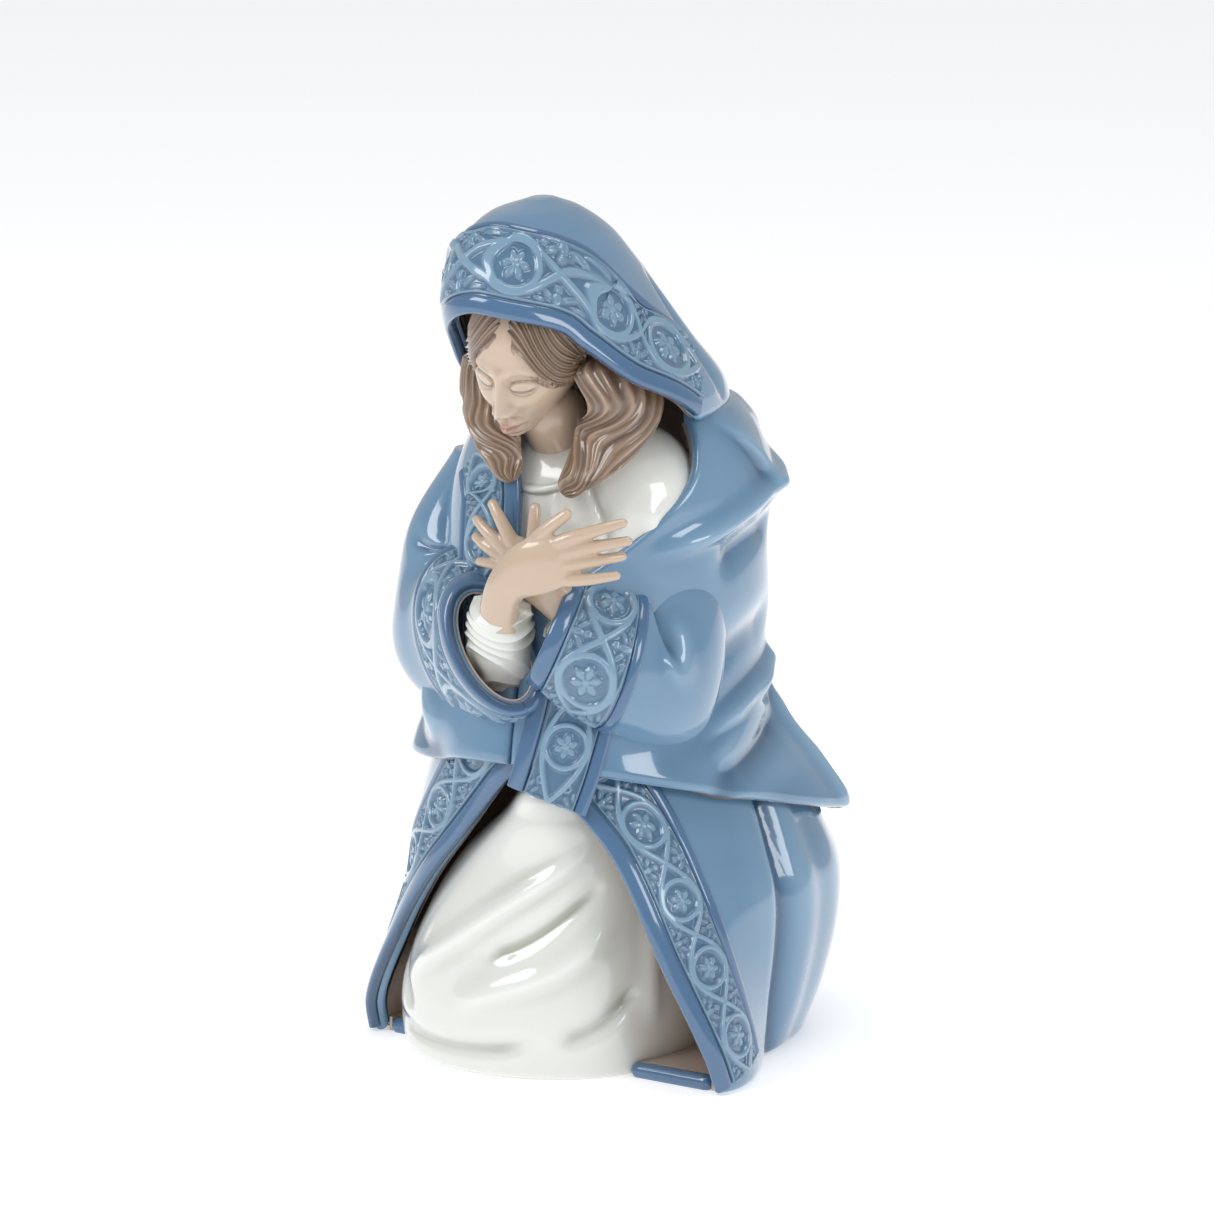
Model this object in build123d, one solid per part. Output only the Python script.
"""Kneeling madonna statue in glazed porcelain, modelled as the cast pieces that a maker lutes together.

Units are millimetres. +Z is up, the figure faces -Y, and her left side is +X. The origin is the middle
of the statue's outer box, on the surface that it stands on.
"""

import os
from math import atan2, cos, degrees, hypot, pi, radians, sin

from build123d import *

# ---- driving dimensions -------------------------------------------------------------------------
WALL = 3.2  # wall of the cast mantle
THIN_WALL = 2.4  # wall of the hood and the sleeves
DRESS_WALL = 3.0  # wall of the white dress
FLOOR_PLATE = 3.0  # thickness of the closing plate underneath
VENT_RADIUS = 4.0  # firing vent in the closing plate
FOOT_RECESS = 0.8  # how far the middle of the underside stays clear of the table
RELIEF = 0.7  # how far an embossed band stands proud
HEM_RISE = 1.0  # how far a plain hem stands proud
HEM_WIDTH = 3.0
BAND_START = 3.2  # a band's near and far side, measured from the edge
BAND_END = 14.5
TRIM_START = 14.7  # the plain line that closes a band
TRIM_END = 17.2
CAPE_TILT = 0.26  # fall of the cape's lower hem per millimetre towards the back
CAPE_HEM_HEIGHT = 53.0  # height of that hem at Y = 0
RING_POINTS = 24
OPEN_POINTS = 19
FIT = 0.15  # gap between pieces that are luted together
FLOOR_ROLL = 1.8  # radius of the hem that lies along the floor
NECKLINE_RADIUS, NECKLINE_ROLL = 9.5, 1.1
CENTRE_SHIFT = (0.92, 6.03)  # moves the model so that its box is centred on the origin


# ---- small helpers ------------------------------------------------------------------------------
def flow(t, knots, values):
    """Smooth curve through values at knots, by cubic Hermite pieces with central slopes."""
    t = min(max(t, knots[0]), knots[-1])
    i = max(k for k in range(len(knots) - 1) if knots[k] <= t)
    span = knots[i + 1] - knots[i]

    def slope(k):
        a, b = max(k - 1, 0), min(k + 1, len(knots) - 1)
        return (values[b] - values[a]) / (knots[b] - knots[a])

    s = (t - knots[i]) / span
    return (
        values[i] * (1 + 2 * s) * (1 - s) ** 2
        + slope(i) * span * s * (1 - s) ** 2
        + values[i + 1] * s * s * (3 - 2 * s)
        + slope(i + 1) * span * s * s * (s - 1)
    )


def oval_radius(angle, right, left, back, front, power):
    """Radius of an oval with its own half length on each side."""
    across = right if cos(angle) >= 0 else left
    along = back if sin(angle) >= 0 else front
    total = abs(cos(angle) / across) ** power + abs(sin(angle) / along) ** power
    return total ** (-1 / power)


class Drape:
    """A draped wall given in polar form: a radius for each angle and height.

    levels holds rows of (height, centre x, centre y, right, left, back, front).
    folds holds rows of (angle in degrees by height, width in degrees, rise by height).
    """

    def __init__(self, levels, power=2.1, folds=()):
        self.heights = [row[0] for row in levels]
        self.columns = list(zip(*levels))[1:]
        self.power = power
        self.folds = folds

    def centre(self, z):
        return tuple(flow(z, self.heights, column) for column in self.columns[:2])

    def point(self, degree, z, proud=0.0):
        """Point of the wall at an angle in degrees and a height, moved outwards by proud."""
        sides = [flow(z, self.heights, column) for column in self.columns[2:]]
        radius = oval_radius(radians(degree), *sides, self.power)
        for angles, width, rises in self.folds:
            away = (degree - flow(z, *angles) + 180) % 360 - 180
            radius += flow(z, *rises) * 2.718 ** (-((away / width) ** 2))
        x, y = self.centre(z)
        reach = radius + proud
        return (x + reach * cos(radians(degree)), y + reach * sin(radians(degree)), z)


def spread(low, high, count):
    return [low + (high - low) * i / (count - 1) for i in range(count)]


def closed_wire(points):
    """Smooth closed wire through points."""
    return Wire([Edge.make_spline([Vector(*p) for p in points], periodic=True)])


def loft(wires):
    return Solid.make_loft(wires)


def ring(drape, z, proud=0.0, lift=0.0):
    """Closed horizontal section of a drape."""
    turns = [360 * i / RING_POINTS for i in range(RING_POINTS)]
    points = [drape.point(turn, z, proud) for turn in turns]
    return closed_wire([(x, y, z + lift) for x, y, _ in points])


def open_section(drape, z, start, end, wall):
    """C-shaped section of a drape's wall, from start to end degrees."""
    turns = [start + (end - start) * i / (OPEN_POINTS - 1) for i in range(OPEN_POINTS)]
    outer = [Vector(*drape.point(turn, z)) for turn in turns]
    inner = [Vector(*drape.point(turn, z, -wall)) for turn in turns]
    return Wire(
        [
            Edge.make_spline(outer),
            Edge.make_line(outer[-1], inner[-1]),
            Edge.make_spline(inner[::-1]),
            Edge.make_line(inner[0], outer[0]),
        ]
    )


def open_shell(drape, heights, start, end, wall):
    """Wall of a drape between two edges that move with height."""
    return loft([open_section(drape, z, start(z), end(z), wall) for z in heights])


def closed_shell(drape, heights, wall, top_gap):
    """Hollow dome of a drape, open below and closed at its last height."""
    outer = loft([ring(drape, z) for z in heights])
    inner_heights = [z for z in heights if z < heights[-1] - top_gap]
    rings = [ring(drape, inner_heights[0], -wall, -1.0)]
    rings += [ring(drape, z, -wall) for z in inner_heights]
    return outer - loft(rings)


def walk(drape, degree, z, heading, distance):
    """Angle and height reached by walking a distance over the wall along a heading."""
    steps = 6
    for _ in range(steps):
        here = Vector(*drape.point(degree, z))
        around = Vector(*drape.point(degree + 1, z)) - here
        up = Vector(*drape.point(degree, z + 1)) - here
        square, skew, rise = around.dot(around), around.dot(up), up.dot(up)
        along, climb = heading.dot(around), heading.dot(up)
        size = square * rise - skew * skew
        turn, lift = (along * rise - climb * skew) / size, (climb * square - along * skew) / size
        share = distance / steps / (around * turn + up * lift).length
        degree, z = degree + turn * share, z + lift * share
    return degree, z


def strip(drape, path, inside, outside, rise, count):
    """Thin band on a drape between two distances to the left of a path.

    path gives an angle and a height for each share of its length from 0 to 1.
    """
    sections = []
    for t in spread(0, 1, count):
        degree, z = path(t)
        here = Vector(*drape.point(degree, z))
        ahead, behind = (Vector(*drape.point(*path(t + step))) for step in (0.01, -0.01))
        out = Vector(*drape.point(degree + 1, z)) - here
        out = out.cross(Vector(*drape.point(degree, z + 1)) - here).normalized()
        heading = (ahead - behind).cross(out)
        spots = [walk(drape, degree, z, heading, d) for d in spread(inside, outside, 4)]
        low = [Vector(*drape.point(*spot)) for spot in spots]
        flat = (low[-1] - low[0]).cross(out).normalized()
        low = [p - flat * (p - low[0]).dot(flat) for p in low]
        high = [p + out * rise for p in low]
        sections.append(Wire.make_polygon(low + high[::-1], close=True))
    return loft(sections)


def hoop(centre, normal, long_way, long_radius, short_radius):
    """Oval ring about a centre, square to normal, with its long radius towards long_way."""
    plane = Plane(origin=centre, x_dir=square_to(normal, long_way), z_dir=normal)
    points = []
    for i in range(RING_POINTS):
        turn = 2 * pi * i / RING_POINTS
        local = Vector(long_radius * cos(turn), short_radius * sin(turn), 0)
        points.append(plane.from_local_coords(local))
    return Wire([Edge.make_spline(points, periodic=True)])


def square_to(normal, way):
    n = Vector(*normal).normalized()
    w = Vector(*way)
    return (w - n * w.dot(n)).normalized()


def tube(rows, proud=0.0):
    """Closed solid through oval hoops; each row is (centre, normal, long way, long, short radius)."""
    return loft([hoop(c, n, w, a + proud, b + proud) for c, n, w, a, b in rows])


def part_way(first, second, share):
    """Row of a tube between two rows."""

    def mix(a, b):
        if isinstance(a, tuple):
            return tuple(mix(p, q) for p, q in zip(a, b))
        return a + (b - a) * share

    return mix(first, second)


def finger(points, root, tip):
    """Tapered rounded finger through its joints."""
    count = len(points) - 1
    body = None
    for i in range(count):
        start, end = Vector(*points[i]), Vector(*points[i + 1])
        r_start = root + (tip - root) * i / count
        r_end = root + (tip - root) * (i + 1) / count
        plane = Plane(origin=start, z_dir=end - start)
        bone = Solid.make_cone(r_start, r_end, (end - start).length, plane)
        knuckle = Solid.make_sphere(r_end, Plane(origin=end))
        body = bone + knuckle if body is None else body + bone + knuckle
    return body


def moved(point, offset):
    return tuple(a + b for a, b in zip(point, offset))


def egg(centre, size, tilt):
    """Ellipsoid of three half lengths, nodding by tilt[0] and leaning by tilt[1] degrees."""
    ball = scale(Solid.make_sphere(1.0), by=size)
    return Pos(*centre) * Rot(tilt[0], tilt[1], 0) * ball


# ---- shapes of the draped walls -----------------------------------------------------------------
# (height, centre x, centre y, right, left, back, front); her left is the table's right.
SKIRT_LEVELS = [
    (0, 0, -5, 36.0, 39.0, 41.0, 40.0),
    (12, 0, -5, 39.5, 40.5, 47.0, 42.0),
    (25, 0, -5, 42.0, 41.5, 52.0, 43.5),
    (36, 0, -5, 42.0, 41.5, 53.0, 44.0),
    (46, 0, -5, 38.5, 42.0, 47.5, 43.5),
    (58, 0, -5, 33.5, 39.0, 40.5, 42.5),
    (70, 0, -5, 28.0, 34.5, 33.5, 41.5),
    (76, 0, -5, 26.0, 33.0, 31.0, 40.5),
]
SKIRT_TOP = 76.0
OPENING_KNOTS = (0, 8, 27, 49, 60, 67, SKIRT_TOP)
OPENING_LEFT = (-39, -42, -51, -62, -75, -86, -87)  # edge on her left, in degrees by height
OPENING_RIGHT = (-149, -146, -133, -110, -98, -90, -89)  # edge on her right
SKIRT_FOLDS = [
    ((OPENING_KNOTS, OPENING_LEFT), 21, ((0, 8, 27, 48, 60, 76), (17, 15, 9.5, 6.0, 2.0, 0))),
    ((OPENING_KNOTS, OPENING_RIGHT), 19, ((0, 8, 27, 48, 60, 76), (12.5, 12, 5, 1.0, 0, 0))),
]
CAPE_LEVELS = [
    (38, 0, -12, 42.5, 43.5, 62.0, 41.0),
    (50, 0, -12, 41.0, 43.0, 57.5, 41.0),
    (60, 0, -12, 37.0, 41.0, 51.5, 40.5),
    (70, 0, -12, 32.0, 38.0, 45.0, 39.5),
    (82, 0, -12, 29.0, 35.0, 37.5, 37.0),
    (95, 0, -12, 31.0, 33.5, 34.0, 35.0),
    (108, 0, -12, 33.0, 33.0, 33.0, 33.5),
    (120, 0, -12, 34.0, 31.0, 33.0, 32.0),
    (130, 0, -12, 31.0, 27.0, 31.0, 29.0),
    (139, 0, -12, 24.5, 20.5, 26.0, 24.0),
]
CAPE_FOLDS = [
    (((38, 74), (38, 36)), 22, ((38, 50, 60, 74), (4.5, 4.0, 2.4, 0))),
]
CAPE_TOP = 139.0
CHEST_KNOTS = (38, 96, 103, 113, 124, 132, CAPE_TOP)
CHEST_LEFT = (-88, -87, -72, -46, -28, -22, -19)  # chest opening, edge on her left
CHEST_RIGHT = (-91, -92, -93, -94, -96, -106, -122)  # chest opening, edge on her right
HOOD_LEVELS = [
    (136, 1, -25, 27.5, 21.0, 40.0, 18.0),
    (142, 1, -26, 26.5, 21.0, 37.5, 24.0),
    (150, 0, -27, 23.0, 20.0, 31.0, 29.0),
    (160, -3, -27, 19.5, 18.0, 24.5, 31.5),
    (168, -4, -28, 16.0, 16.5, 19.0, 28.0),
    (174, -4, -29, 12.0, 13.0, 14.0, 22.0),
    (178.5, -4, -30, 6.5, 8.5, 8.0, 14.0),
    (180.6, -4, -30.5, 2.0, 2.5, 2.5, 4.0),
]
HOOD_FOOT = 136.0
HOOD_BROW = 161.0  # height at which the two sides of the hood's mouth meet
HOOD_KNOTS = (HOOD_FOOT, 142, 147, 154, 158, HOOD_BROW)
HOOD_LEFT = (8, -10, -32, -50, -60, -84)
HOOD_RIGHT = (-171, -160, -140, -124, -110, -95)
MOUTH_TURNS = HOOD_LEFT + HOOD_RIGHT[::-1]
MOUTH_HEIGHTS = HOOD_KNOTS + HOOD_KNOTS[::-1]
DRESS_LEVELS = [
    (0, -7, -18, 31.0, 31.0, 30.0, 33.5),
    (8, -7, -18, 31.5, 32.5, 30.0, 34.5),
    (18, -7, -18, 31.0, 31.0, 29.0, 33.5),
    (32, -6, -19, 29.0, 25.5, 26.0, 30.5),
    (44, -3, -20, 24.5, 20.0, 22.0, 27.5),
    (54, 1, -22, 17.5, 12.5, 17.0, 24.5),
    (61, 3, -24, 9.5, 7.0, 11.0, 20.5),
]
DRESS_HEIGHTS = (0, 8, 18, 32, 44, 54, 61)
BODICE_LEVELS = [
    (94, 2, -24, 24.5, 24.5, 14.0, 18.0),
    (102, 2, -24, 25.5, 25.0, 14.0, 18.3),
    (110, 2, -24, 26.5, 25.0, 14.0, 18.5),
    (120, 2, -24, 26.5, 23.5, 14.0, 18.0),
    (128, 2, -24, 21.0, 18.0, 11.5, 14.5),
    (133, 2, -24, 12.5, 11.0, 8.0, 9.0),
]

skirt_wall = Drape(SKIRT_LEVELS, 2.15, SKIRT_FOLDS)
cape_wall = Drape(CAPE_LEVELS, 2.1, CAPE_FOLDS)
hood_wall = Drape(HOOD_LEVELS, 2.1)
dress_wall = Drape(DRESS_LEVELS, 2.2)
bodice_wall = Drape(BODICE_LEVELS, 2.2)


def opening_left(z):
    return flow(z, OPENING_KNOTS, OPENING_LEFT)


def opening_right(z):
    return flow(z, OPENING_KNOTS, OPENING_RIGHT)


def chest_left(z):
    return flow(z, CHEST_KNOTS, CHEST_LEFT)


def chest_right(z):
    return flow(z, CHEST_KNOTS, CHEST_RIGHT)


def hood_left(z):
    return flow(z, HOOD_KNOTS, HOOD_LEFT)


def hood_right(z):
    return flow(z, HOOD_KNOTS, HOOD_RIGHT)


# ---- edges as paths: an angle and a height for each share from 0 to 1, wall on the left hand ------
def rising(knots, turns, low, high):
    """Path up an edge whose angle is given by height."""

    def path(t):
        z = low + (high - low) * t
        return flow(z, knots, turns), z

    return path


def falling(knots, turns, low, high):
    """The same path, from its top to its foot."""
    return lambda t: rising(knots, turns, low, high)(1 - t)


def mouth_path(t):
    """Path round the hood's mouth, from her left shoulder over the brow to her right one."""
    ends = 0.35
    place = ends + (len(MOUTH_TURNS) - 1 - 2 * ends) * t
    counts = range(len(MOUTH_TURNS))
    return flow(place, counts, MOUTH_TURNS), flow(place, counts, MOUTH_HEIGHTS)


# ---- sleeves, cuffs and hands: (centre, normal, long way, long radius, short radius) ------------
SLEEVE_RIGHT = [
    ((-3, -52, 91), (0.45, -0.70, 0.45), (0.68, -0.32, -0.65), 14.5, 8.5),
    ((-15, -37, 89), (0.60, -0.75, 0.15), (0.45, -0.10, -0.85), 19.0, 13.0),
    ((-29, -26, 92), (0.70, -0.45, -0.45), (-0.55, 0.1, -0.80), 16.0, 13.0),
    ((-31, -20, 108), (0.05, -0.15, -1.0), (0, 1, 0), 12.0, 9.5),
    ((-25, -17, 123), (-0.2, -0.1, -1.0), (0, 1, 0), 9.0, 7.0),
]
SLEEVE_LEFT = [
    ((8, -48.5, 95), (-0.82, -0.40, 0.40), (0.1, -0.4, -0.9), 11.0, 8.5),
    ((19, -39, 88), (-0.66, -0.64, 0.30), (0.1, -0.3, -0.9), 14.5, 11.0),
    ((25, -28, 83), (-0.35, -0.60, -0.45), (0.1, 0.6, -0.7), 18.0, 12.0),
    ((26, -22, 100), (-0.05, -0.30, -0.95), (0, 1, 0), 14.0, 11.5),
    ((21, -17, 116), (-0.2, -0.1, -1.0), (0, 1, 0), 12.0, 9.0),
]
RING_DEPTH = 0.6  # how deep a sleeve's bands are let into its wall
SLEEVE_HEM = (-0.03, 0.15)  # shares of the way from a sleeve's mouth to its second hoop
SLEEVE_BAND = (0.17, 0.90)
SLEEVE_TRIM = (0.92, 0.99)
SLEEVE_RINGS = {
    "hem": (SLEEVE_HEM, HEM_RISE),
    "band": (SLEEVE_BAND, RELIEF),
    "trim": (SLEEVE_TRIM, HEM_RISE),
}
CUFF_RIGHT = [
    ((-6, -44, 84), (0.2, -0.55, 0.8), (1, 0, 0), 6.5, 5.5),
    ((-3, -50, 92), (0.2, -0.45, 0.87), (1, 0, 0), 6.8, 5.8),
    ((0, -55, 100.5), (0.2, -0.45, 0.87), (1, 0, 0), 6.0, 5.0),
]
CUFF_LEFT = [
    ((17, -39, 90), (-0.5, -0.65, 0.5), (0, 0.6, 0.8), 6.0, 4.5),
    ((9.5, -48, 99), (-0.55, -0.5, 0.65), (0, 0.6, 0.8), 5.5, 3.6),
]
PALM_RIGHT = [
    ((0.8, -56.5, 100), (0.35, -0.25, 0.9), (1, 0, 0), 4.6, 3.6),
    ((4, -58.5, 106), (0.6, -0.2, 0.75), (0.7, 0, -0.7), 4.6, 3.2),
    ((10, -59, 110), (0.85, -0.05, 0.4), (0.4, 0.1, -0.9), 6.2, 3.0),
    ((17, -57.5, 112.5), (0.95, 0.2, 0.2), (0.15, 0.1, -0.95), 5.8, 2.2),
]
PALM_LEFT = [
    ((11, -49, 101), (-0.7, -0.3, 0.6), (0.6, 0, 0.7), 4.4, 3.2),
    ((4, -50.5, 106.5), (-0.8, -0.1, 0.55), (0.5, 0.1, 0.85), 5.8, 2.8),
    ((-1.5, -50.5, 110.5), (-0.85, 0.05, 0.5), (0.5, 0, 0.85), 5.2, 2.0),
]
FINGERS_RIGHT = [
    [(8, -58.5, 113), (13, -58, 118), (17.5, -56.5, 122)],
    [(15.5, -57.6, 115.5), (21, -55.5, 117.5), (27.2, -51, 119.7)],
    [(16, -57.4, 113.2), (22, -55, 114.6), (27.8, -50.5, 115.9)],
    [(16, -57.2, 111), (21.5, -54.5, 111.8), (26, -50, 112.6)],
    [(15, -57, 108.6), (21, -55.5, 108.2), (26.5, -52, 109)],
]
FINGERS_LEFT = [
    [(5, -50.5, 110), (5.5, -50.8, 116), (5.4, -50, 121.5)],
    [(0, -50.6, 113.5), (-2.5, -50.8, 117.5), (-5.3, -49.8, 121)],
    [(-1.5, -50.6, 111.6), (-5.5, -50.6, 114.4), (-9.4, -49.4, 117)],
    [(-2, -50.5, 109.6), (-6, -50.4, 111.4), (-9.8, -49.2, 113.2)],
    [(-1, -50.3, 107.6), (-5, -50.2, 107.6), (-9, -49.4, 107.8)],
]
FINGER_ROOT, FINGER_TIP = 1.55, 1.0
LOCK_LEFT = [
    ((12.5, -41, 151), (0.2, 0.1, -1.0), (0.3, 1, 0), 5.0, 3.0),
    ((16, -37.5, 142), (0.2, 0.1, -1.0), (0.3, 1, 0), 7.0, 3.8),
    ((15, -38.5, 133.5), (-0.2, -0.2, -1.0), (1, -0.5, 0), 6.2, 3.4),
    ((11.5, -43, 126.5), (-0.5, -0.4, -0.8), (1, -0.5, 0), 5.0, 2.5),
    ((9, -45.2, 122.5), (-0.5, -0.3, -0.8), (1, -0.5, 0), 2.8, 1.4),
]
LOCK_RIGHT = [
    ((-12.5, -42, 150), (-0.1, 0, -1.0), (0.3, 1, 0), 3.6, 2.4),
    ((-12, -41, 140), (0.1, 0, -1.0), (1, 0.6, 0), 4.6, 2.8),
    ((-7, -43, 130.5), (0.5, -0.2, -0.9), (1, 0.2, 0), 4.4, 2.6),
    ((-3, -44.8, 124), (0.5, -0.2, -0.9), (1, 0.2, 0), 2.2, 1.2),
]
HEAD_CENTRE = (-1, -41, 151)
HEAD_SIZE = (11.3, 13.6, 17.0)
HEAD_TILT = (25, 8)  # nod and lean, in degrees
JAW_OFFSET, JAW_SIZE = (-0.7, -4.2, -8.8), (7.7, 7.7, 9.8)
NOSE_OFFSET, NOSE_SIZE, NOSE_TILT = (-0.2, -13.0, -7.4), (1.9, 2.8, 4.4), (35, 8)
FACE_CENTRE, FACE_SIZE = (-1, -58, 145), (10.0, 16.0, 15.2)  # what the hair leaves free
HAIR_GROWTH = 1.7
HAIR_SETBACK = (0, 1.5, 1.0)  # how far the hair's centre lies back and up from the head's
HAIR_FOOT = 145.0
NECK = ((-0.5, -37.5, 141.5), (2.0, -28.0, 125.0), 7.2)
NECKLINE_CENTRE = (1.2, -33.5, 127.0)


# ---- the pieces ---------------------------------------------------------------------------------
def cape_above():
    """Block that lies above the sloping lower hem of the cape."""
    size = 300.0
    lean = degrees(atan2(CAPE_TILT, 1.0))
    block = Box(size, size, size, align=(Align.CENTER, Align.CENTER, Align.MIN))
    return Pos(0, 0, CAPE_HEM_HEIGHT) * Rot(-lean, 0, 0) * block


def make_mantle_skirt():
    heights = (0, 8, 18, 28, 38, 47, 57, 66, SKIRT_TOP)
    return open_shell(
        skirt_wall, heights, opening_left, lambda z: opening_right(z) + 360, WALL
    )


def make_cape():
    heights = (38, 50, 60, 70, 82, 92, 103, 113, 122, 130, HOOD_FOOT - FIT)
    shell = open_shell(
        cape_wall, heights, chest_left, lambda z: chest_right(z) + 360, WALL
    )
    return shell & cape_above()


def make_hood():
    """Hollow hood with its mouth cut out between the two edges."""
    heights = (HOOD_FOOT, 142, 149, 155, HOOD_BROW, 168, 174, 178.5, 180.6)
    shell = closed_shell(hood_wall, heights, THIN_WALL, 3.0)
    reach = 60.0
    sections = []
    for z in HOOD_KNOTS:
        cx, cy = hood_wall.centre(z)
        turns = [radians(hood_left(z)), radians(hood_right(z) + 360)]
        ahead = [Vector(cx + reach * cos(t), cy + reach * sin(t), z) for t in turns]
        front = [Vector(x, cy - reach, z) for x in (cx - reach / 2, cx + reach / 2)]
        sections.append(Wire.make_polygon([Vector(cx, cy, z), ahead[1], *front, ahead[0]]))
    return shell - Solid.make_loft(sections, True)


def make_dress():
    return closed_shell(dress_wall, DRESS_HEIGHTS, DRESS_WALL, 4.0)


def make_bodice():
    return closed_shell(bodice_wall, (94, 102, 110, 120, 128, 133), DRESS_WALL, 2.0)


def plate_outline(drape, inset):
    return Face(ring(drape, 0.0, -inset))


def make_base_plate(dress_outer):
    """Closing plate: an outer floor round the dress and an inner disc with the firing vent."""
    reach = [skirt_wall.point(turn, 0, -WALL - FIT)[:2] for turn in spread(-39, 211, 21)]
    edges = [
        Edge.make_spline([Vector(x, y, 0) for x, y in reach]),
        Edge.make_line(Vector(*reach[-1], 0), Vector(*reach[0], 0)),
    ]
    floor = extrude(Face(Wire(edges)), FLOOR_PLATE, dir=(0, 0, 1)) - dress_outer
    disc = extrude(plate_outline(dress_wall, DRESS_WALL + FIT), FLOOR_PLATE, dir=(0, 0, 1))
    recess = extrude(plate_outline(dress_wall, DRESS_WALL + 4), FOOT_RECESS, dir=(0, 0, 1))
    vent = Pos(-7, -18, 0) * Cylinder(VENT_RADIUS, 3 * FLOOR_PLATE)
    return Compound(floor.solids() + (disc - recess - vent).solids())


def make_head():
    skull = egg(HEAD_CENTRE, HEAD_SIZE, HEAD_TILT)
    jaw = egg(moved(HEAD_CENTRE, JAW_OFFSET), JAW_SIZE, HEAD_TILT)
    nose = egg(moved(HEAD_CENTRE, NOSE_OFFSET), NOSE_SIZE, NOSE_TILT)
    top, foot, radius = NECK
    axis = Vector(*foot) - Vector(*top)
    throat = Solid.make_cylinder(radius, axis.length, Plane(origin=top, z_dir=axis))
    return skull + jaw + nose + throat


def make_hair_crown(head):
    grown = tuple(side + HAIR_GROWTH for side in HEAD_SIZE)
    cap = egg(moved(HEAD_CENTRE, HAIR_SETBACK), grown, HEAD_TILT)
    face = egg(FACE_CENTRE, FACE_SIZE, HEAD_TILT)
    size = 80.0
    below = Box(size, size, size, align=(Align.CENTER, Align.CENTER, Align.MAX))
    return cap - head - face - Pos(0, HEAD_CENTRE[1], HAIR_FOOT) * below


def mouth_span(rows, first, last, count):
    """Hoops between two shares of the way from a sleeve's mouth to its second hoop."""
    return [part_way(rows[0], rows[1], share) for share in spread(first, last, count)]


def sleeve_ring(rows, shares, rise):
    """Band round a sleeve, let into its wall, between two shares of its mouth length."""
    past = 0.05
    core = mouth_span(rows, shares[0] - past, shares[1] + past, 3)
    return tube(mouth_span(rows, *shares, 3), rise) - tube(core, -RING_DEPTH)


def hand(palm_rows, fingers):
    body = tube(palm_rows)
    for i, joints in enumerate(fingers):
        grow = 1.12 if i == 0 else 1.0
        body = body + finger(joints, FINGER_ROOT * grow, FINGER_TIP * grow)
    return body


def make_floor_rolls(dress_outer):
    """Rolled front hem of the closing plate, one length on each side of the dress."""
    corners = [skirt_wall.point(edge[0], 0, -WALL - 1) for edge in (OPENING_RIGHT, OPENING_LEFT)]
    start, end = (Vector(x, y, FLOOR_ROLL * 0.7) for x, y, _ in corners)
    way = end - start
    bar = Solid.make_cylinder(FLOOR_ROLL, way.length, Plane(origin=start, z_dir=way))
    table = Box(300, 300, 50, align=(Align.CENTER, Align.CENTER, Align.MAX))
    lengths = (bar - table - dress_outer).solids()
    return sorted(lengths, key=lambda length: length.center().X)


def make_neckline():
    """Rolled neck edge of the dress."""
    top, foot, _ = NECK
    plane = Plane(origin=NECKLINE_CENTRE, z_dir=Vector(*top) - Vector(*foot))
    return Solid.make_torus(NECKLINE_RADIUS, NECKLINE_ROLL, plane)


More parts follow.
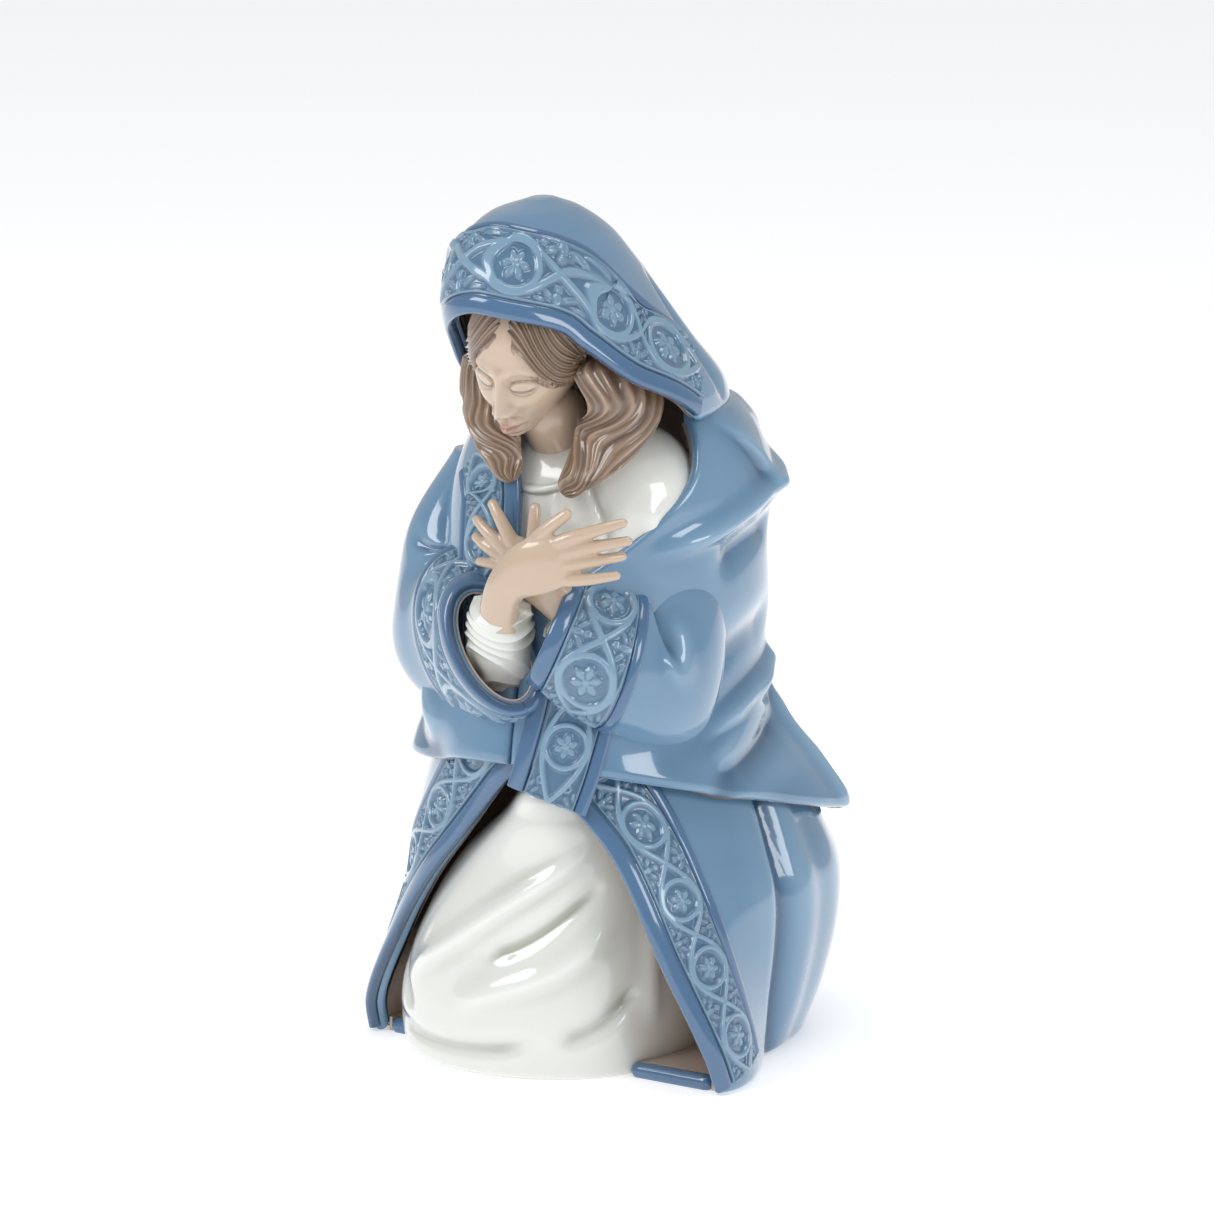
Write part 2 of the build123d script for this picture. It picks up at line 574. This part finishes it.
def edge_strips():
    """Hems, embossed bands and closing trims that follow the edges of the mantle."""
    left = rising(OPENING_KNOTS, OPENING_LEFT, 0.6, 66.0)
    right = falling(OPENING_KNOTS, OPENING_RIGHT, 0.9, 66.0)
    chest = falling(CHEST_KNOTS, CHEST_RIGHT, 90.0, 131.0)
    edges = [
        ("opening", "_left", skirt_wall, left, 9),
        ("opening", "_right", skirt_wall, right, 9),
        ("chest", "", cape_wall, chest, 7),
        ("hood", "", hood_wall, mouth_path, 15),
    ]
    widths = [
        ("hem", 0.0, HEM_WIDTH, HEM_RISE),
        ("band", BAND_START, BAND_END, RELIEF),
        ("trim", TRIM_START, TRIM_END, HEM_RISE),
    ]
    return {
        f"{place}_{kind}{side}": strip(wall, path, inside, outside, rise, count)
        for place, side, wall, path, count in edges
        for kind, inside, outside, rise in widths
    }


def main():
    dress_outer = loft([ring(dress_wall, z) for z in DRESS_HEIGHTS])
    floor_hem_right, floor_hem_left = make_floor_rolls(dress_outer)
    arm_left, arm_right = tube(SLEEVE_LEFT), tube(SLEEVE_RIGHT)
    head = make_head()
    crown = make_hair_crown(head)
    cuff_left, cuff_right = tube(CUFF_LEFT), tube(CUFF_RIGHT)
    neckline = make_neckline() - head
    pieces = {
        "mantle_skirt": make_mantle_skirt(),
        "mantle_cape": make_cape(),
        "hood": make_hood(),
        "dress_skirt": make_dress(),
        "dress_bodice": make_bodice(),
        "base_plate": make_base_plate(dress_outer) - floor_hem_left - floor_hem_right,
        "floor_hem_left": floor_hem_left,
        "floor_hem_right": floor_hem_right,
        "neckline_hem": neckline,
        "head": head,
        "hair_crown": crown,
        "hair_lock_left": tube(LOCK_LEFT) - head - crown,
        "hair_lock_right": tube(LOCK_RIGHT) - head - crown,
        "cuff_left": cuff_left,
        "cuff_right": cuff_right,
        "hand_left": hand(PALM_LEFT, FINGERS_LEFT) - cuff_left,
        "hand_right": hand(PALM_RIGHT, FINGERS_RIGHT) - cuff_right,
    }
    for side, rows, arm in (("left", SLEEVE_LEFT, arm_left), ("right", SLEEVE_RIGHT, arm_right)):
        pieces[f"sleeve_{side}"] = arm - tube(mouth_span(rows, -0.1, 0.9, 2), -THIN_WALL)
        for kind, (shares, rise) in SLEEVE_RINGS.items():
            pieces[f"sleeve_{kind}_{side}"] = sleeve_ring(rows, shares, rise)
    pieces["sleeve_left"] -= arm_right
    pieces.update(edge_strips())
    os.makedirs("parts", exist_ok=True)
    for name, shape in pieces.items():
        export_step(Pos(*CENTRE_SHIFT, 0) * Compound(shape.solids()), f"parts/{name}.step")


if __name__ == "__main__":
    main()
